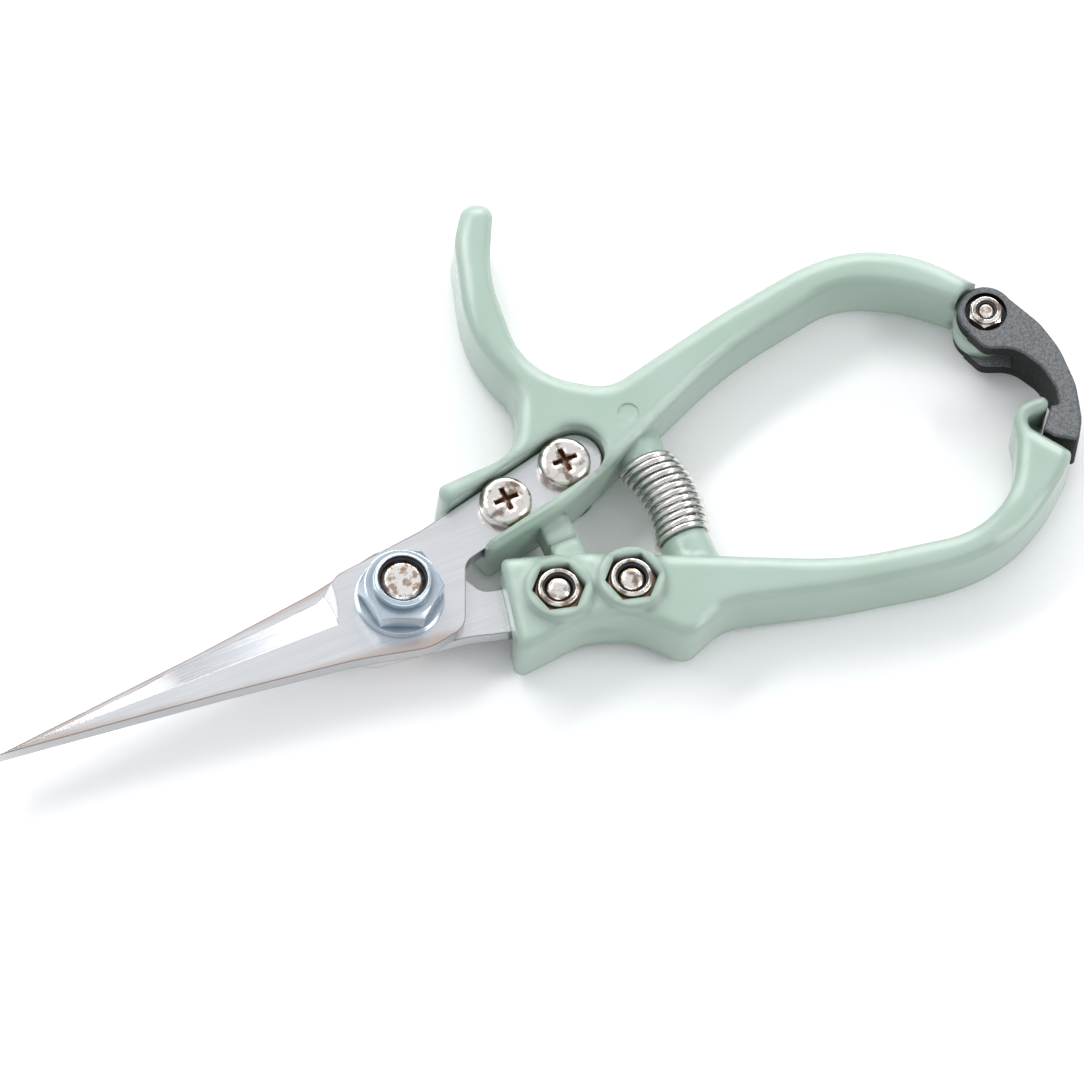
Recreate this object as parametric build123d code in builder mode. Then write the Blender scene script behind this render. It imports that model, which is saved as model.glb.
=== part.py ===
# Bypass pruner: two crossed blades on one bolt, two loop handles, a spring and a swinging latch.
# Origin on the pivot axis at table height, +X from the tips to the handles, +Y to the thumb side,
# +Z up, millimetres.
import os
from math import cos, radians, sin

from build123d import *

os.makedirs("parts", exist_ok=True)

# heights above the table
shear_height = 8.0          # the plane where the two blades slide on each other
blade_gap = 0.02            # half of the film of oil between them
blade_thickness = 2.98
handle_half_thickness = 6.5
boss_rise = 1.5             # how far the nut rims stand proud of a handle

# blades
blade_reach = 77.6          # pivot axis to the tips
edge_bulge = 4.1            # half width at the middle of the cutting edge
spine_bulge = 4.95
tang_width = 9.2
tang_overhang = 20.2        # front screw to the end of the tang
edge_land = 0.3             # steel left standing along the cutting edge
ridge_offset = -0.5         # where the hollow grind starts across the blade
grind_margin = 1.2          # how far the grinding tool stands past the steel
grind_stations = [(-8.0, 7.6), (-19.0, 5.25), (-40.0, 3.85), (-blade_reach - 1.0, 0.3)]
grind_heel = [(-12.0, 12.0), (-13.2, 2.3), (-16.6, -3.0)]
grind_heel_slope = 35

# pivot: M8 flanged bolt and lock nut
pivot_radius = 4.0
pivot_flats = 13.0
pivot_turn = 37.3
pivot_flange_radius = 7.9
pivot_flange_height = 1.4
pivot_nut_height = 8.0
pivot_collar_radius = 5.2

# tang screws and nuts: M5
screw_radius = 2.5
screw_head_radius = 4.65
screw_head_height = 2.8
screw_spacing = 13.06
nut_flats = 8.0
nut_height = 4.8
nut_collar_radius = 3.75
pocket_flats = 8.5
boss_radius = 5.75
boss_draft = 22
nut_seat_wall = 3.0         # handle left between the tang and the nut

# proportions shared by all bolts and lock nuts
cross_width_share = 0.22    # cross recess, against the head's radius and height
cross_depth_share = 0.6
cross_slope = 12
bolt_end_share = 0.3        # chamfer at the end of a bolt, against its radius
nut_hex_share = 0.72        # hexagon, against the nut's height
nut_lip_share = 0.1
nut_ring_share = 0.62       # nylon ring, against the collar's wall
flange_slope = 12

# latch and its M3 bolt
latch_pivot = (118.06, 9.86)
latch_half_thickness = 5.25
latch_head_radius = 5.0
tongue_half_thickness = 2.25
tongue_radius = 5.4
latch_bolt_radius = 1.5
latch_bolt_head_radius = 2.9
latch_bolt_head_height = 1.6
latch_nut_flats = 5.5
latch_nut_height = 2.6
latch_nut_collar_radius = 2.65
latch_recess_radius = 3.7
latch_recess_depth = 1.8

# hook at the end of the lower handle and the tooth of the latch that holds it
hook_tip = (119.3, 10.2)    # measured to the lower handle's own side
hook_tip_radius = 1.3
hook_clearance = 0.4        # between the hook and the flank of the tooth
flank_angle = 50.0          # the way the tooth leaves the hook as both swing apart
flank_length = 4.6

# spring between the handles
spring_x = 51.4
spring_outer_radius = 5.3
wire_radius = 0.55
spring_coils = 11
spring_seat = 8.2           # height of a seat above the centre line
stud_tip = 5.4
stud_root = 16.0
stud_radius = 3.9
stud_base_radius = 4.45

# mark the casting die leaves on the upper handle
ejector_mark = (51.2, 15.7)
ejector_mark_radius = 1.9
ejector_mark_depth = 0.2

# stops that meet when the blades are closed
stop_x = 31.2
stop_length = 5.4
stop_half_thickness = 3.0
stop_root = 6.0             # how far each stop runs on into its handle
stop_corner = 0.5
stop_meet = -1.1            # the stops meet a little to the lower handle's side

# clearances and small edges
shank_clearance = 0.05
ring_clearance = 0.03
pocket_clearance = 0.45
stop_gap = 0.06
slot_clearance = 0.15
swing_clearance = 0.5       # around the latch head and around the tongue
latch_seat_gap = 0.03       # under the latch bolt's head and nut, so the latch turns freely
rim_chamfer = 1.0
small_chamfer = 0.35

latch_x, latch_y = latch_pivot
boss_depth = handle_half_thickness + boss_rise
hook_x, hook_y = hook_tip
hook_end = hook_x + hook_tip_radius
hook_near, hook_far = hook_y - hook_tip_radius, hook_y + hook_tip_radius
flank_along = (cos(radians(flank_angle)), sin(radians(flank_angle)))
flank_x = hook_x + (hook_tip_radius + hook_clearance) * flank_along[1]
flank_y = -hook_y - (hook_tip_radius + hook_clearance) * flank_along[0]

# each half is described looking down on its own tang, so the lower one is turned over about X
half_plane = {
    "upper": Plane(origin=(0, 0, shear_height), x_dir=(1, 0, 0), z_dir=(0, 0, 1)),
    "lower": Plane(origin=(0, 0, shear_height), x_dir=(1, 0, 0), z_dir=(0, 0, -1)),
}
half_sign = {"upper": 1, "lower": -1}
tang_front = {"upper": (24.6, 9.2), "lower": (25.4, 10.8)}
tang_angle = {"upper": 13.0, "lower": 14.1}

# outlines as corners, each with the radius that rounds it
handle_corners = {
    "upper": [
        (13.6, 15.8, 1.6), (29.5, 16.5, 8), (35.6, 27.5, 8), (31.4, 40.2, 26), (37.3, 58.6, 12),
        (41.6, 64.4, 3.0), (46.4, 62.0, 2.4), (40.0, 50.0, 25), (37.8, 30.2, 14), (50.2, 21.7, 8),
        (75.0, 27.4, 150), (90.5, 30.0, 40), (101.5, 30.0, 24), (112.0, 23.8, 27),
        (latch_x + 3, latch_y + 2.3, 0), (latch_x - 1.5, latch_y + 1.1, 0), (106.0, 20.6, 32),
        (96.0, 24.9, 16), (73.0, 20.6, 80), (34.5, 4.0, 30), (18.0, 0.9, 1.2),
    ],
    "lower": [
        (14.5, 19.0, 1.6), (28.5, 17.3, 14), (36.5, 20.2, 10), (43.2, 27.8, 3), (52.0, 24.3, 10),
        (72.0, 29.6, 100), (92.0, 33.3, 40), (103.5, 32.8, 27), (114.0, 26.8, 42), (120.4, 21.2, 1.3),
        (119.4, 19.4, 4), (115.4, 13.6, 1.8), (116.0, hook_far, 1.3),
        (hook_end, hook_far, hook_tip_radius - 0.02), (hook_end, hook_near, hook_tip_radius - 0.02),
        (114.0, hook_near, 4.1), (112.9, 14.6, 11), (107.2, 25.0, 16), (97.0, 28.4, 17),
        (75.0, 24.6, 60), (32.5, 5.4, 30), (18.7, 1.1, 1.2),
    ],
}
latch_corners = [
    (latch_x - 4.6, latch_y - 2.5, 0), (114.9, 3.5, 2.5), (120.0, 1.4, 6), (122.7, -3.6, 7),
    (123.2, -8.4, 4), (122.4, -11.7, 0.7), (flank_x + 0.5, flank_y + 0.3, 0.5),
    (flank_x - flank_length * flank_along[0], flank_y - flank_length * flank_along[1], 0.8),
    (118.9, -16.7, 0.8), (122.6, -19.2, 0.9), (124.9, -15.5, 6), (126.8, -9.0, 12),
    (127.1, -1.6, 15), (126.0, 4.2, 10), (latch_x + 4.34, latch_y + 2.24, 0), (latch_x, latch_y, 0),
]


def tang_point(side, along, across):
    """A point measured along and across the tang from its front screw."""
    x, y = tang_front[side]
    turn = radians(tang_angle[side])
    return (x + along * cos(turn) - across * sin(turn), y + along * sin(turn) + across * cos(turn))


def rounded_outline(corners):
    FilletPolyline(*[(x, y) for x, y, r in corners], radius=[r for x, y, r in corners], close=True)


def save(piece, name):
    piece.part.label = name
    export_step(piece.part, f"parts/{name}.step")


def build_blade(side):
    half, sign = half_plane[side], half_sign[side]
    half_width = tang_width / 2
    with BuildPart() as blade:
        with BuildSketch(half.offset(blade_gap)):
            with BuildLine():
                rounded_outline([
                    (-blade_reach, 0.35, 0.4), (-38.0, edge_bulge, 400), (-13.2, 5.35, 3),
                    (-8.2, 8.3, 2), (9.0, 10.4, 20),
                    (*tang_point(side, tang_overhang, half_width), half_width - 0.05),
                    (*tang_point(side, tang_overhang, -half_width), half_width - 0.05),
                    (*tang_point(side, -12.3, -half_width), 3),
                    (8.3, -9.6, 4), (1.0, -10.9, 10), (-12.0, -8.0, 60), (-36.0, -spine_bulge, 200),
                    (-blade_reach, -0.55, 0.4),
                ])
            make_face()
            Circle(pivot_radius + shank_clearance, mode=Mode.SUBTRACT)
            with Locations(tang_point(side, 0, 0), tang_point(side, screw_spacing, 0)):
                Circle(screw_radius + shank_clearance, mode=Mode.SUBTRACT)
        extrude(amount=blade_thickness)
        # hollow grind: a long wedge from the ridge line down to the cutting edge, with a curved heel
        top = blade_gap + blade_thickness
        with BuildPart(mode=Mode.PRIVATE) as grind:
            for x, edge_y in grind_stations:
                reach = edge_y - ridge_offset
                drop = (top - edge_land) / reach
                with BuildSketch(Plane(origin=half.from_local_coords(Vector(x, ridge_offset, 0)),
                                       x_dir=half.y_dir, z_dir=half.x_dir)):
                    with BuildLine():
                        Polyline((0, top), (0, top + grind_margin),
                                 (reach + grind_margin, top + grind_margin),
                                 (reach + grind_margin, edge_land - grind_margin * drop), close=True)
                    make_face()
            loft(ruled=True)
            with BuildSketch(half):
                with BuildLine():
                    Polyline(grind_heel[0], (-blade_reach - 9, grind_heel[0][1]),
                             (-blade_reach - 9, grind_heel[2][1]), grind_heel[2])
                    ThreePointArc(grind_heel[2], grind_heel[1], grind_heel[0])
                make_face()
            extrude(amount=top + grind_margin, taper=-grind_heel_slope, mode=Mode.INTERSECT)
        add(grind.part, mode=Mode.SUBTRACT)
    return blade


def build_handle(side):
    half, sign = half_plane[side], half_sign[side]
    with BuildPart() as handle:
        with BuildSketch(half.offset(-handle_half_thickness)):
            with BuildLine():
                rounded_outline(handle_corners[side])
            make_face()
            if side == "upper":
                with Locations(latch_pivot):
                    Circle(tongue_radius)
        extrude(amount=2 * handle_half_thickness)
        rims = handle.edges().group_by(Axis.Z)
        chamfer(rims[0] + rims[-1], length=rim_chamfer)
        # rims that stand around the nuts
        with BuildSketch(half.offset(-boss_depth)):
            with Locations(tang_point(side, 0, 0), tang_point(side, screw_spacing, 0)):
                Circle(boss_radius)
        extrude(amount=boss_rise + 0.1, taper=-boss_draft)
        # stop
        with BuildSketch(half.offset(-stop_half_thickness)):
            with Locations((stop_x, (stop_root + stop_meet * sign + stop_gap / 2) / 2)):
                RectangleRounded(stop_length, stop_root - stop_meet * sign - stop_gap / 2, stop_corner)
        extrude(amount=2 * stop_half_thickness)
        # spring seat and stud
        for height, radius in ((spring_seat, stud_base_radius), (stud_tip, stud_radius)):
            with BuildSketch(Plane(origin=(spring_x, height * sign, shear_height),
                                   x_dir=(1, 0, 0), z_dir=(0, sign, 0))):
                Circle(radius)
            extrude(amount=stud_root - height)
        # pocket for the tang
        with BuildSketch(half):
            with Locations(tang_point(side, (tang_overhang - tang_width / 2) / 2 - 10, 0)):
                SlotCenterToCenter(tang_overhang - tang_width / 2 + 20,
                                   tang_width + 2 * pocket_clearance, rotation=tang_angle[side])
        extrude(amount=handle_half_thickness, mode=Mode.SUBTRACT)
        # hexagonal nut pockets and screw holes
        with BuildSketch(half.offset(-boss_depth)):
            with Locations(tang_point(side, 0, 0), tang_point(side, screw_spacing, 0)):
                RegularPolygon(pocket_flats / 2, 6, major_radius=False,
                               rotation=tang_angle[side])
        extrude(amount=boss_depth - nut_seat_wall, mode=Mode.SUBTRACT)
        with BuildSketch(half.offset(-boss_depth)):
            with Locations(tang_point(side, 0, 0), tang_point(side, screw_spacing, 0)):
                Circle(screw_radius + shank_clearance)
        extrude(amount=boss_depth, mode=Mode.SUBTRACT)
        if side == "upper":
            with BuildSketch(half.offset(handle_half_thickness)):
                with Locations(ejector_mark):
                    Circle(ejector_mark_radius)
            extrude(amount=-ejector_mark_depth, mode=Mode.SUBTRACT)
            # tongue that the latch turns on
            for offset in (-handle_half_thickness, tongue_half_thickness):
                with BuildSketch(half.offset(offset)):
                    with Locations(latch_pivot):
                        Circle(latch_head_radius + swing_clearance)
                extrude(amount=handle_half_thickness - tongue_half_thickness, mode=Mode.SUBTRACT)
            with BuildSketch(half.offset(-tongue_half_thickness)):
                with Locations(latch_pivot):
                    Circle(latch_bolt_radius + shank_clearance)
            extrude(amount=2 * tongue_half_thickness, mode=Mode.SUBTRACT)
    return handle


def build_bolt(plane, radius, length, head_radius, head_height, head_round, drive):
    """A bolt with its head below the plane and its shank above it."""
    with BuildPart() as bolt:
        with BuildSketch(plane.offset(-head_height)):
            Circle(head_radius)
        extrude(amount=head_height)
        far = bolt.faces().sort_by(Axis(plane.origin, plane.z_dir))[0]
        fillet(far.edges(), radius=head_round)
        if drive == "cross":
            with BuildSketch(plane.offset(-head_height)):
                Rectangle(head_radius, head_radius * cross_width_share)
                Rectangle(head_radius * cross_width_share, head_radius)
            extrude(amount=head_height * cross_depth_share, taper=cross_slope, mode=Mode.SUBTRACT)
        with BuildSketch(plane):
            Circle(radius)
        extrude(amount=length)
        end = bolt.faces().sort_by(Axis(plane.origin, plane.z_dir))[-1]
        chamfer(end.edges(), length=radius * bolt_end_share)
    return bolt


def build_nut(plane, flats, height, bore, collar_radius, flange_radius, turn):
    """A lock nut standing on the plane, and the nylon ring in its collar."""
    hex_top = height * nut_hex_share
    corner = flats / 2 / cos(radians(30)) + 0.3
    lip = height * nut_lip_share
    ring_bottom = hex_top - lip
    ring_outer = bore + (collar_radius - bore) * nut_ring_share
    with BuildPart() as nut:
        with BuildSketch(plane):
            RegularPolygon(flats / 2, 6, major_radius=False, rotation=turn)
        extrude(amount=hex_top)
        side_plane = Plane(origin=plane.origin, x_dir=plane.x_dir, z_dir=plane.y_dir)
        up = 1 if side_plane.y_dir.dot(plane.z_dir) > 0 else -1
        with BuildSketch(side_plane):
            with BuildLine():
                Polyline((flats / 2, up * hex_top), (corner, up * hex_top),
                         (corner, up * (hex_top - 0.577 * (corner - flats / 2))), close=True)
            make_face()
        revolve(axis=Axis(plane.origin, plane.z_dir), mode=Mode.SUBTRACT)
        if flange_radius:
            with BuildSketch(plane):
                Circle(flange_radius)
            extrude(amount=pivot_flange_height, taper=flange_slope)
        with BuildSketch(plane):
            Circle(collar_radius)
        extrude(amount=height)
        end = nut.faces().sort_by(Axis(plane.origin, plane.z_dir))[-1]
        fillet(end.edges(), radius=lip * 0.8)
        with BuildSketch(plane):
            Circle(bore)
        extrude(amount=height, mode=Mode.SUBTRACT)
        with BuildSketch(plane.offset(ring_bottom)):
            Circle(ring_outer + ring_clearance)
        extrude(amount=height - lip - ring_bottom, mode=Mode.SUBTRACT)
        with BuildSketch(plane.offset(height - lip)):
            Circle((bore + ring_outer) / 2)
        extrude(amount=lip, mode=Mode.SUBTRACT)
    with BuildPart() as ring:
        with BuildSketch(plane.offset(ring_bottom + ring_clearance)):
            Circle(ring_outer)
            Circle(bore, mode=Mode.SUBTRACT)
        extrude(amount=height - lip - ring_bottom - 2 * ring_clearance)
    return nut, ring


# the two halves with their screws and nuts
for side in ("upper", "lower"):
    half = half_plane[side]
    save(build_blade(side), f"{side}_blade")
    save(build_handle(side), f"{side}_handle")
    for place, along in (("front", 0), ("rear", screw_spacing)):
        x, y = tang_point(side, along, 0)
        head_plane = Plane(origin=half.from_local_coords(Vector(x, y, blade_gap + blade_thickness)),
                           x_dir=half.x_dir, z_dir=-half.z_dir)
        nut_plane = Plane(origin=half.from_local_coords(Vector(x, y, -nut_seat_wall)),
                          x_dir=half.x_dir, z_dir=-half.z_dir)
        grip = blade_gap + blade_thickness + nut_seat_wall
        screw = build_bolt(head_plane, screw_radius, grip + nut_height - 0.4, screw_head_radius,
                           screw_head_height, 1.3, "cross")
        nut, ring = build_nut(nut_plane, nut_flats, nut_height, screw_radius + shank_clearance,
                              nut_collar_radius, None, -tang_angle[side])
        save(screw, f"{side}_screw_{place}")
        save(nut, f"{side}_nut_{place}")
        save(ring, f"{side}_nut_ring_{place}")

# pivot bolt and nut
pivot_head_height = shear_height - blade_gap - blade_thickness
blades_top = shear_height + blade_gap + blade_thickness
with BuildPart() as pivot_bolt:
    with BuildSketch():
        RegularPolygon(pivot_flats / 2, 6, major_radius=False, rotation=pivot_turn)
    extrude(amount=pivot_head_height)
    with BuildSketch(Plane.XY.offset(pivot_head_height)):
        Circle(pivot_flange_radius)
    extrude(amount=-pivot_flange_height, taper=flange_slope)
    with BuildSketch(Plane.XY.offset(pivot_head_height)):
        Circle(pivot_radius)
    extrude(amount=blades_top + pivot_nut_height - 0.5 - pivot_head_height)
    chamfer(pivot_bolt.faces().sort_by(Axis.Z)[-1].edges(), length=0.9)
save(pivot_bolt, "pivot_bolt")
pivot_nut, pivot_ring = build_nut(Plane.XY.offset(blades_top), pivot_flats, pivot_nut_height,
                                  pivot_radius + shank_clearance, pivot_collar_radius,
                                  pivot_flange_radius, pivot_turn)
save(pivot_nut, "pivot_nut")
save(pivot_ring, "pivot_nut_ring")

# latch
with BuildPart() as latch:
    with BuildSketch(Plane.XY.offset(shear_height - latch_half_thickness)):
        with BuildLine():
            rounded_outline(latch_corners)
        make_face()
        with Locations(latch_pivot):
            Circle(latch_head_radius)
    extrude(amount=2 * latch_half_thickness)
    latch_rims = latch.edges().group_by(Axis.Z)
    chamfer(latch_rims[0] + latch_rims[-1], length=small_chamfer)
    # slot for the tongue, opened towards the inside of the loop
    with BuildSketch(Plane.XY.offset(shear_height - tongue_half_thickness - slot_clearance)):
        with Locations(latch_pivot):
            Circle(tongue_radius + swing_clearance)
        with BuildLine():
            Polyline((latch_x - 6, latch_y), (latch_x - 6, latch_y - 8), (latch_x + 1.6, latch_y - 8.6),
                     (latch_x + 4.0, latch_y - 4.2), (latch_x, latch_y), close=True)
        make_face()
    extrude(amount=2 * (tongue_half_thickness + slot_clearance), mode=Mode.SUBTRACT)
    for height in (shear_height - latch_half_thickness,
                   shear_height + latch_half_thickness - latch_recess_depth):
        with BuildSketch(Plane.XY.offset(height)):
            with Locations(latch_pivot):
                Circle(latch_recess_radius)
        extrude(amount=latch_recess_depth, mode=Mode.SUBTRACT)
    with BuildSketch(Plane.XY.offset(shear_height - latch_half_thickness)):
        with Locations(latch_pivot):
            Circle(latch_bolt_radius + shank_clearance)
    extrude(amount=2 * latch_half_thickness, mode=Mode.SUBTRACT)
save(latch, "latch")

latch_floor = shear_height - latch_half_thickness + latch_recess_depth - latch_seat_gap
latch_ceiling = shear_height + latch_half_thickness - latch_recess_depth + latch_seat_gap
latch_bolt = build_bolt(Plane(origin=(latch_x, latch_y, latch_floor), z_dir=(0, 0, 1)),
                        latch_bolt_radius, latch_ceiling - latch_floor + latch_nut_height - 0.2,
                        latch_bolt_head_radius, latch_bolt_head_height, 0.8, "cross")
save(latch_bolt, "latch_bolt")
latch_nut, latch_ring = build_nut(Plane(origin=(latch_x, latch_y, latch_ceiling), z_dir=(0, 0, 1)),
                                  latch_nut_flats, latch_nut_height,
                                  latch_bolt_radius + shank_clearance, latch_nut_collar_radius,
                                  None, 0)
save(latch_nut, "latch_nut")
save(latch_ring, "latch_nut_ring")

# spring
coil_radius = spring_outer_radius - wire_radius
coil_height = 2 * (spring_seat - wire_radius)
with BuildPart() as spring:
    with BuildLine() as coil:
        Helix(pitch=coil_height / spring_coils, height=coil_height, radius=coil_radius,
              center=(spring_x, -coil_height / 2, shear_height), direction=(0, 1, 0))
    with BuildSketch(Plane(origin=coil.line @ 0, z_dir=coil.line % 0)):
        Circle(wire_radius)
    sweep(path=coil.line, is_frenet=True)
save(spring, "spring")
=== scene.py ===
from math import cos, pi, radians, sin

import bpy
import bmesh
from mathutils import Matrix, Vector


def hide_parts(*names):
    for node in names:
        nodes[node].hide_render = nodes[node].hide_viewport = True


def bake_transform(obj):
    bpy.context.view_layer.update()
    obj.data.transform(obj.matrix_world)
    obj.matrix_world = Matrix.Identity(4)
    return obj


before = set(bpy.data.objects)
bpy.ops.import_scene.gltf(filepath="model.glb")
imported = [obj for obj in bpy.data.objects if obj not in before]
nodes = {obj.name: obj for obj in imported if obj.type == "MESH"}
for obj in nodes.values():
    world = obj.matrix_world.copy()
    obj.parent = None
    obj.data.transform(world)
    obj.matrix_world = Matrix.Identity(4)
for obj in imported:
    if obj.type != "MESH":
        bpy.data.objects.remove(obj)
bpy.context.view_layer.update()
mm = 0.001
print("frame loaded with", len(nodes), "pieces")


class Value:
    # a socket that can be used in sums
    def __init__(self, owner, socket):
        self.owner = owner
        self.socket = socket

    def math(self, operation, a, b):
        return self.owner.add("Math", {"operation": operation}, {0: a, 1: b})

    def __add__(self, other):
        return self.math("ADD", self, other)

    def __mul__(self, other):
        return self.math("MULTIPLY", self, other)

    __radd__ = __add__
    __rmul__ = __mul__


class Nodes:
    def __init__(self, tree):
        self.tree = tree

    def add(self, kind, settings=None, inputs=None, output=0):
        node = self.tree.nodes.new("ShaderNode" + kind)
        for key, value in (settings or {}).items():
            if key == "stops":
                ramp = node.color_ramp
                while len(ramp.elements) < len(value):
                    ramp.elements.new(0.5)
                for element, (place, colour) in zip(ramp.elements, value):
                    element.position = place
                    element.color = colour
            else:
                setattr(node, key, value)
        for key, value in (inputs or {}).items():
            self.plug(node.inputs[key], value)
        return Value(self, node.outputs[output])

    def plug(self, socket, value):
        if isinstance(value, Value):
            self.tree.links.new(value.socket, socket)
        else:
            socket.default_value = value


class Finish(Nodes):
    def __init__(self, name, constants):
        self.material = bpy.data.materials.new(name)
        self.material.use_nodes = True
        super().__init__(self.material.node_tree)
        self.shader = self.tree.nodes["Principled BSDF"]
        self.set(constants)

    def set(self, values):
        for key, value in values.items():
            self.plug(self.shader.inputs[key], value)

    def place(self, scale, turn=0.0):
        # metres of the object, stretched and turned about Z
        spot = self.add("TexCoord", {}, {}, "Object")
        return self.add("Mapping", {"vector_type": "POINT"},
                        {"Vector": spot, "Rotation": (0, 0, radians(turn)), "Scale": scale})

    def noise(self, scale, detail=2.0, turn=0.0, rough=0.5):
        return self.add("TexNoise", {}, {"Vector": self.place(scale, turn), "Scale": 1.0,
                                         "Detail": detail, "Roughness": rough}, "Fac")

    def ramp(self, value, low, high, a=0.0, b=1.0):
        return self.add("MapRange", {"interpolation_type": "SMOOTHSTEP"},
                        {"Value": value, "From Min": low, "From Max": high,
                         "To Min": a, "To Max": b})

    def mixed(self, factor, a, b):
        return self.add("Mix", {"data_type": "RGBA"}, {0: factor, 6: a, 7: b}, 2)

    def part(self, vector, letter):
        return self.add("SeparateXYZ", {}, {0: vector}, letter)

    def cavity(self, distance):
        # 1 in the open, falling to 0 in narrow recesses
        return self.add("AmbientOcclusion", {"samples": 8}, {"Distance": distance}, "AO")

    def edges(self, radius):
        # 0 on sharp edges, 1 away from them
        rounded = self.add("Bevel", {"samples": 6}, {"Radius": radius}, "Normal")
        flat = self.add("NewGeometry", {}, {}, "Normal")
        likeness = self.add("VectorMath", {"operation": "DOT_PRODUCT"}, {0: rounded, 1: flat}, "Value")
        return self.ramp(likeness, 0.86, 0.995)

    def relief(self, height, depth, softEdge, strength=1.0):
        # height field on top of rounded edges
        rounded = self.add("Bevel", {"samples": 6}, {"Radius": softEdge}, "Normal")
        self.set({"Normal": self.add("Bump", {}, {"Height": height, "Distance": depth,
                                                  "Strength": strength, "Normal": rounded}, "Normal")})


def dress(material, *names):
    for name in names:
        slots = nodes[name].data.materials
        slots.clear()
        slots.append(material)


# camera, looking down from the front of the tool and leaning to the left
view = {"turn": 33.78, "height": 64.0, "lean": 10.0, "middle": (25.12, 10.87), "across": 189.7,
        "distance": 6.0, "sensor": 36, "pivotHeight": 8}
turn, height, lean = (radians(view[key]) for key in ("turn", "height", "lean"))
flat = Vector((cos(turn), -sin(turn), 0))
back = Vector((-sin(turn) * cos(height), -cos(turn) * cos(height), sin(height)))
rise = back.cross(flat)
right = flat * cos(lean) + rise * sin(lean)
up = rise * cos(lean) - flat * sin(lean)
pivotMiddle = Vector((0, 0, view["pivotHeight"] * mm))
target = pivotMiddle + right * view["middle"][0] * mm + up * view["middle"][1] * mm
cameraData = bpy.data.cameras.new("camera")
cameraData.sensor_fit = "HORIZONTAL"
cameraData.sensor_width = view["sensor"]
cameraData.lens = view["sensor"] * view["distance"] / (view["across"] * mm)
cameraData.clip_start = 0.05
camera = bpy.data.objects.new("camera", cameraData)
camera.matrix_world = (Matrix.Translation(target + back * view["distance"])
                       @ Matrix((right, up, back)).transposed().to_4x4())
bpy.context.scene.collection.objects.link(camera)
bpy.context.scene.camera = camera
bpy.context.scene.view_settings.view_transform = "Standard"
print("camera set")

# floor and light
studio = {"floor": (0.96, 0.96, 0.96, 1), "floorRough": 0.9, "floorHalf": 3,
          "strength": 0.92, "aim": (0.02, 0, 0),
          "sky": [(0.0, (0.05, 0.035, 0.03, 1)), (0.53, (0.11, 0.08, 0.07, 1)),
                  (0.575, (0.75, 0.80, 0.86, 1)), (0.75, (0.88, 0.90, 0.93, 1)),
                  (0.93, (0.84, 0.85, 0.87, 1)), (1.0, (0.80, 0.81, 0.83, 1))]}
half = studio["floorHalf"]
floorMesh = bpy.data.meshes.new("floor")
floorMesh.from_pydata([(-half, -half, 0), (half, -half, 0), (half, half, 0), (-half, half, 0)],
                      [], [(0, 1, 2, 3)])
floor = bpy.data.objects.new("floor", floorMesh)
bpy.context.scene.collection.objects.link(floor)
floorPaint = Finish("floorPaint", {"Base Color": studio["floor"], "Roughness": studio["floorRough"],
                                   "Specular IOR Level": 0.0})
floorMesh.materials.append(floorPaint.material)

# the room is bright overhead and dim and warm towards the horizon
world = bpy.data.worlds.new("world")
bpy.context.scene.world = world
world.use_nodes = True
room = Nodes(world.node_tree)
upward = room.add("SeparateXYZ", {}, {0: room.add("TexCoord", {}, {}, "Generated")}, "Z")
background = room.tree.nodes["Background"]
room.plug(background.inputs["Color"],
          room.add("ValToRGB", {"stops": studio["sky"]}, {0: 0.5 * upward + 0.5}))
room.plug(background.inputs["Strength"], studio["strength"])

lamps = [
    {"name": "keyLamp", "from": (-0.30, 0.70, 0.95), "size": (0.9, 0.22), "power": 5},
    {"name": "fillLamp", "from": (0.75, -0.55, 0.75), "size": (0.5, 0.15), "power": 3},
    {"name": "rimLamp", "from": (0.46, 0.95, 0.66), "size": (1.5, 0.20), "power": 9.5},
]
for lamp in lamps:
    data = bpy.data.lights.new(lamp["name"], "AREA")
    data.shape = "RECTANGLE"
    data.size, data.size_y = lamp["size"]
    data.energy = lamp["power"]
    holder = bpy.data.objects.new(lamp["name"], data)
    holder.location = lamp["from"]
    aim = Vector(studio["aim"]) - Vector(lamp["from"])
    holder.rotation_euler = aim.to_track_quat("-Z", "Y").to_euler()
    bpy.context.scene.collection.objects.link(holder)
print("studio set")

# handles: glossy enamel over a casting
enamelLook = {"colour": (0.345, 0.445, 0.380, 1), "deep": (0.305, 0.41, 0.340, 1), "roughness": 0.07,
              "roughSpread": 0.05, "gloss": 1.0, "cloudSize": (55, 55, 55), "cloudSpan": (0.3, 0.7),
              "cloudShare": 0.8, "peelSize": (700, 700, 700), "peelDepth": 0.012,
              "softEdge": 2.8, "strength": 0.4}
look = enamelLook
enamel = Finish("enamel", {"Specular IOR Level": look["gloss"]})
cloud = enamel.noise(look["cloudSize"], 3)
peel = enamel.noise(look["peelSize"], 2)
enamelTone = enamel.mixed(enamel.ramp(cloud, *look["cloudSpan"]), look["deep"], look["colour"])
enamel.set({"Base Color": enamelTone,
            "Roughness": look["roughness"] + look["roughSpread"] * cloud})
enamel.relief(peel + look["cloudShare"] * cloud, look["peelDepth"] * mm, look["softEdge"] * mm,
              look["strength"])
dress(enamel.material, "upper_handle", "lower_handle")

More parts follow.
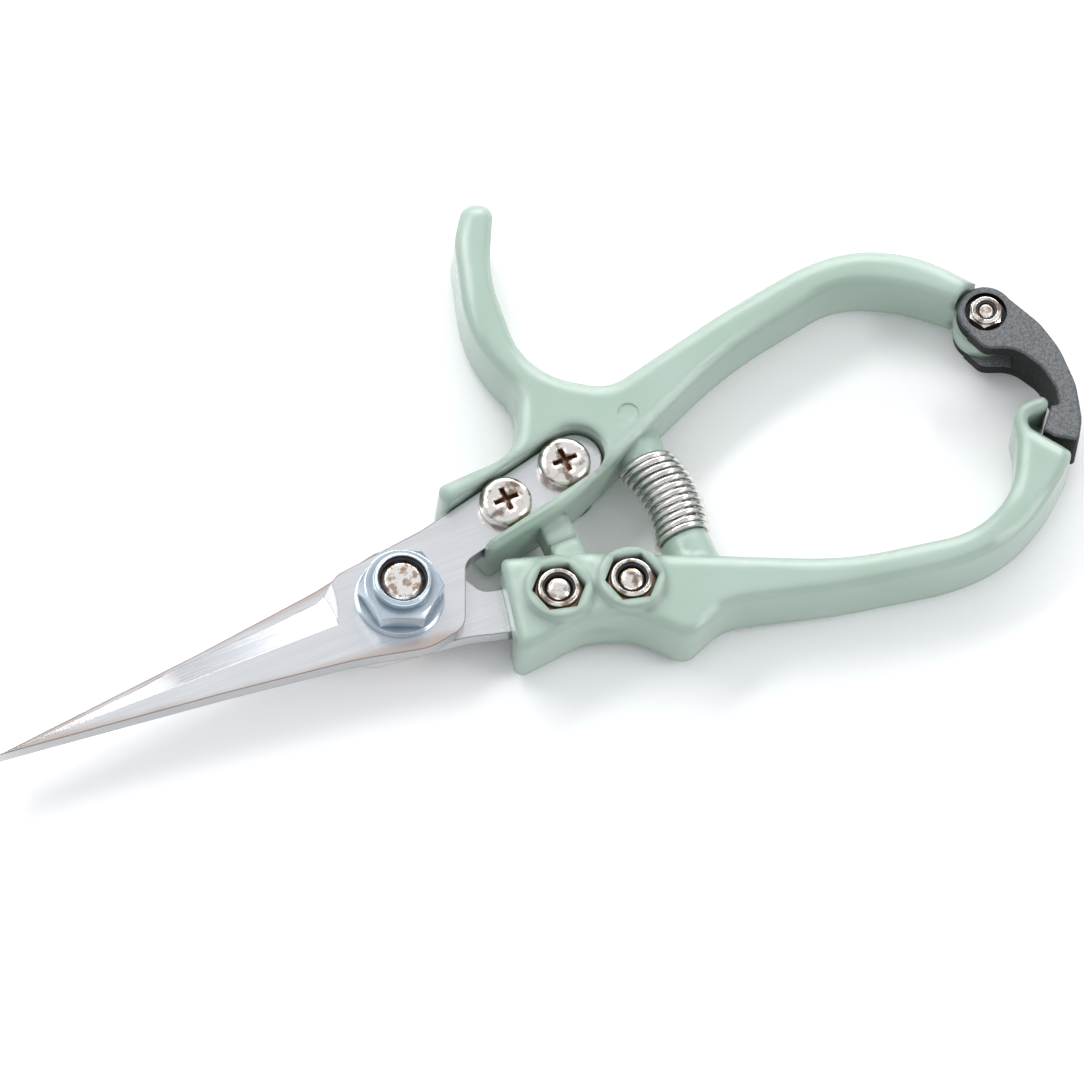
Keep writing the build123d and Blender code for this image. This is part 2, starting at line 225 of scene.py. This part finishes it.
# blades: brushed stainless, with a painted brown reflection towards the spine, painted shade on sharp
# edges, and painted shade on the upper blade's side walls and painted light on the lower blade's
steelLook = {"bright": (0.84, 0.85, 0.865, 1), "dull": (0.70, 0.71, 0.73, 1),
             "spineReflection": (0.60, 0.47, 0.40, 1), "edge": (0.16, 0.11, 0.09, 1),
             "upperWallShade": (0.60, 0.60, 0.61, 1), "lowerWallLight": (0.76, 0.77, 0.79, 1),
             "brushSize": (120, 12000, 120), "streakSize": (60, 3600, 60), "patchSize": (70, 70, 70),
             "brushTurn": -62, "brushShare": 0.4, "streakShare": 0.6,
             "spineStart": (-77.6, 0.55), "spineEnd": (-12.0, 8.0),
             "spineReflectionWidth": (0.6, 2.4), "spineReflectionWander": 1.6, "spineReflectionMost": 0.7,
             "wallSpan": (0.2, 0.6), "edgeWidth": 0.45,
             "roughness": 0.17, "streakRough": 0.10, "patchRough": 0.06,
             "depth": 0.006, "softEdge": 0.12, "strength": 0.4}


def bladeSteel(name, side, wallLightAndShade):
    look = steelLook
    steel = Finish(name, {"Metallic": 1.0})
    brush = steel.noise(look["brushSize"], 3, look["brushTurn"])
    streak = steel.noise(look["streakSize"], 2, look["brushTurn"])
    patch = steel.noise(look["patchSize"], 2)
    # distance inside the straight line of the spine
    spot = steel.add("TexCoord", {}, {}, "Object")
    (startX, startY), (endX, endY) = look["spineStart"], look["spineEnd"]
    slope = (endY - startY) / (endX - startX)
    offset = (startY - slope * startX) * mm
    inside = side * steel.part(spot, "Y") + slope * steel.part(spot, "X") + offset
    # painted reflection: a warm brown band painted along the spine, wandering with the patch noise
    near, far = (width * mm for width in look["spineReflectionWidth"])
    spineReflection = steel.ramp(inside + look["spineReflectionWander"] * mm * patch, near, far, look["spineReflectionMost"], 0.0)
    upright = steel.part(steel.add("NewGeometry", {}, {}, "Normal"), "Z")
    flatness = steel.add("Math", {"operation": "ABSOLUTE"}, {0: upright})
    lines = look["brushShare"] * brush + look["streakShare"] * streak
    brushed = steel.mixed(lines, look["dull"], look["bright"])
    # painted light and shade: side walls take a flat wall colour, darker on the upper blade and lighter
    # on the lower blade
    face = steel.mixed(steel.ramp(flatness, *look["wallSpan"]), wallLightAndShade,
                       steel.mixed(spineReflection, brushed, look["spineReflection"]))
    roughness = look["roughness"] + look["streakRough"] * streak + look["patchRough"] * patch
    # painted shade: sharp edges take the dark edge colour
    steel.set({"Base Color": steel.mixed(steel.edges(look["edgeWidth"] * mm), look["edge"], face),
               "Roughness": roughness})
    steel.relief(brush + look["streakShare"] * streak, look["depth"] * mm, look["softEdge"] * mm,
                 look["strength"])
    return steel.material


dress(bladeSteel("upperSteel", 1, steelLook["upperWallShade"]), "upper_blade")
dress(bladeSteel("lowerSteel", -1, steelLook["lowerWallLight"]), "lower_blade")

# pivot nut: bright zinc with a blue cast, with painted shade in the recesses
zincLook = {"recess": (0.10, 0.13, 0.16, 1), "dull": (0.50, 0.60, 0.70, 1),
            "bright": (0.76, 0.83, 0.88, 1), "cloudSize": (260, 260, 260),
            "recessReach": 2.5, "recessSpan": (0.25, 0.95), "roughness": 0.16, "roughSpread": 0.12,
            "depth": 0.05, "softEdge": 0.25, "strength": 0.4}
zinc = Finish("pivotZinc", {"Metallic": 1.0})
zincCloud = zinc.noise(zincLook["cloudSize"], 3)
# painted shade: the dark recess colour is mixed in where the cavity mask falls
zincUnshaded = zinc.ramp(zinc.cavity(zincLook["recessReach"] * mm), *zincLook["recessSpan"])
zinc.set({"Base Color": zinc.mixed(zincUnshaded, zincLook["recess"],
                                   zinc.mixed(zincCloud, zincLook["dull"], zincLook["bright"])),
          "Roughness": zincLook["roughness"] + zincLook["roughSpread"] * zincCloud})
zinc.relief(zincCloud, zincLook["depth"] * mm, zincLook["softEdge"] * mm, zincLook["strength"])
dress(zinc.material, "pivot_nut")

# pivot and latch bolts: scuffed, with warm stains
scuffLook = {"bright": (0.88, 0.86, 0.83, 1), "stain": (0.42, 0.29, 0.21, 1),
             "stainSize": (650, 650, 650), "stainSpan": (0.46, 0.60), "roughness": 0.16,
             "roughSpread": 0.2, "depth": 0.12, "softEdge": 0.4, "strength": 0.6}
scuffed = Finish("scuffedZinc", {"Metallic": 1.0})
stain = scuffed.noise(scuffLook["stainSize"], 4, rough=0.6)
scuffed.set({"Base Color": scuffed.mixed(scuffed.ramp(stain, *scuffLook["stainSpan"]),
                                         scuffLook["bright"], scuffLook["stain"]),
             "Roughness": scuffLook["roughness"] + scuffLook["roughSpread"] * stain})
scuffed.relief(stain, scuffLook["depth"] * mm, scuffLook["softEdge"] * mm, scuffLook["strength"])
dress(scuffed.material, "pivot_bolt", "latch_bolt")

# screws and nuts: nickel with a warm cast, with painted brown shade in the recesses
nickelLook = {"dark": (0.30, 0.24, 0.20, 1), "bright": (0.90, 0.86, 0.81, 1),
              "recess": (0.26, 0.14, 0.08, 1), "cloudSize": (450, 450, 450),
              "recessReach": 1.6, "recessSpan": (0.25, 0.80), "darkSpan": (0.36, 0.56),
              "roughness": 0.08, "roughSpread": 0.10, "depth": 0.05, "strength": 0.5,
              "screwEdge": 1.1, "nutEdge": 0.25}


def nickelPlate(name, softEdge):
    look = nickelLook
    nickel = Finish(name, {"Metallic": 1.0})
    cloud = nickel.noise(look["cloudSize"], 3)
    # painted shade: the brown recess colour is mixed in where the cavity mask falls
    clear = nickel.ramp(nickel.cavity(look["recessReach"] * mm), *look["recessSpan"])
    plate = nickel.mixed(nickel.ramp(cloud, *look["darkSpan"]), look["dark"], look["bright"])
    nickel.set({"Base Color": nickel.mixed(clear, look["recess"], plate),
                "Roughness": look["roughness"] + look["roughSpread"] * cloud})
    nickel.relief(cloud, look["depth"] * mm, softEdge * mm, look["strength"])
    return nickel.material


dress(nickelPlate("screwNickel", nickelLook["screwEdge"]), *[name for name in nodes if "screw" in name])
dress(nickelPlate("nutNickel", nickelLook["nutEdge"]),
      *[name for name in nodes if "nut" in name and "ring" not in name and name != "pivot_nut"])

# latch: grainy glass-filled nylon, with painted shade on the sides
nylonLook = {"side": (0.006, 0.0065, 0.007, 1), "dark": (0.070, 0.075, 0.079, 1),
             "light": (0.21, 0.218, 0.223, 1), "grainSize": (4200, 4200, 4200),
             "mottleSize": (1600, 1600, 1600), "mottleShare": 0.4, "grainSpan": (0.45, 0.95),
             "litTopSpan": (0.35, 0.9), "gloss": 0.1, "roughness": 0.30, "roughSpread": 0.22,
             "depth": 0.12, "softEdge": 0.5, "strength": 0.6}
nylon = Finish("latchNylon", {"Specular IOR Level": nylonLook["gloss"]})
grain = nylon.noise(nylonLook["grainSize"], 4, rough=0.7)
mottle = nylon.noise(nylonLook["mottleSize"], 3)
facing = nylon.part(nylon.add("NewGeometry", {}, {}, "Normal"), "Z")
speckle = nylon.ramp(grain + nylonLook["mottleShare"] * mottle, *nylonLook["grainSpan"])
grainy = nylon.mixed(speckle, nylonLook["dark"], nylonLook["light"])
# painted shade: faces turned away from up take the near-black side colour
nylonLitTop = nylon.ramp(facing, *nylonLook["litTopSpan"])
nylon.set({"Base Color": nylon.mixed(nylonLitTop, nylonLook["side"], grainy),
           "Roughness": nylonLook["roughness"] + nylonLook["roughSpread"] * mottle})
nylon.relief(grain + mottle, nylonLook["depth"] * mm, nylonLook["softEdge"] * mm,
             nylonLook["strength"])
dress(nylon.material, "latch")

# rings in the lock nuts: dark nylon
ringLook = {"dark": (0.025, 0.025, 0.028, 1), "light": (0.06, 0.06, 0.065, 1),
            "speckSize": (1500, 1500, 1500), "gloss": 0.4, "roughness": 0.45, "roughSpread": 0.2}
ringNylon = Finish("ringNylon", {"Specular IOR Level": ringLook["gloss"]})
ringSpeck = ringNylon.noise(ringLook["speckSize"], 2)
ringNylon.set({"Base Color": ringNylon.mixed(ringSpeck, ringLook["dark"], ringLook["light"]),
               "Roughness": ringLook["roughness"] + ringLook["roughSpread"] * ringSpeck})
dress(ringNylon.material, *[name for name in nodes if "ring" in name and name != "spring"])
print("finishes made")

# spring: drawn wire, closed end coils, bowed a little to the rear
springWire = {"middle": (51.4, 8.0), "seat": 8.2, "coilRadius": 4.72, "wireRadius": 0.55, "turns": 11.5,
              "closedTurns": 1.1, "bow": 1.4, "perTurn": 40, "sides": 14, "slack": 1.02,
              "dull": (0.55, 0.52, 0.49, 1), "bright": (0.85, 0.84, 0.83, 1),
              "grainSize": (800, 800, 800), "roughness": 0.12, "roughSpread": 0.14}


def wireMesh(name, points, radius, sides):
    mesh = bpy.data.meshes.new(name)
    bm = bmesh.new()
    rings = []
    side = Vector((0, 0, 1))
    for i, point in enumerate(points):
        ahead = (points[min(i + 1, len(points) - 1)] - points[max(i - 1, 0)]).normalized()
        side = (side - ahead * side.dot(ahead)).normalized()
        other = ahead.cross(side)
        ring = []
        for k in range(sides):
            angle = 2 * pi * k / sides
            ring.append(bm.verts.new(point + (side * cos(angle) + other * sin(angle)) * radius))
        rings.append(ring)
    for a, b in zip(rings, rings[1:]):
        for k in range(sides):
            bm.faces.new((a[k], a[(k + 1) % sides], b[(k + 1) % sides], b[k]))
    bm.faces.new(reversed(rings[0]))
    bm.faces.new(rings[-1])
    bmesh.ops.recalc_face_normals(bm, faces=bm.faces)
    bm.to_mesh(mesh)
    bm.free()
    for face in mesh.polygons:
        face.use_smooth = len(face.vertices) == 4
    return mesh


s = springWire
steps = int(s["turns"] * s["perTurn"])
reach = s["seat"] - s["wireRadius"]
closed = s["closedTurns"] / s["turns"]
# height taken by the coils that lie flat at each end
lift = 2 * s["wireRadius"] * s["slack"] * s["closedTurns"]
wirePoints = []
for i in range(steps + 1):
    share = i / steps
    angle = 2 * pi * s["turns"] * share
    # the coils between share the rest of the length
    if share < closed:
        along = -reach + lift * share / closed
    elif share > 1 - closed:
        along = reach - lift * (1 - share) / closed
    else:
        along = -reach + lift + (2 * reach - 2 * lift) * (share - closed) / (1 - 2 * closed)
    bow = s["bow"] * (1 - (along / reach) ** 2)
    wirePoints.append(Vector((s["middle"][0] + bow + s["coilRadius"] * cos(angle), along,
                              s["middle"][1] + s["coilRadius"] * sin(angle))) * mm)
springMesh = wireMesh("springCoil", wirePoints, s["wireRadius"] * mm, s["sides"])
springCoil = bpy.data.objects.new("springCoil", springMesh)
bpy.context.scene.collection.objects.link(springCoil)
springSteel = Finish("springSteel", {"Metallic": 1.0})
drawn = springSteel.noise(s["grainSize"], 3)
springSteel.set({"Base Color": springSteel.mixed(drawn, s["dull"], s["bright"]),
                 "Roughness": s["roughness"] + s["roughSpread"] * drawn})
springMesh.materials.append(springSteel.material)
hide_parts("spring")
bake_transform(springCoil)
print("spring wound")
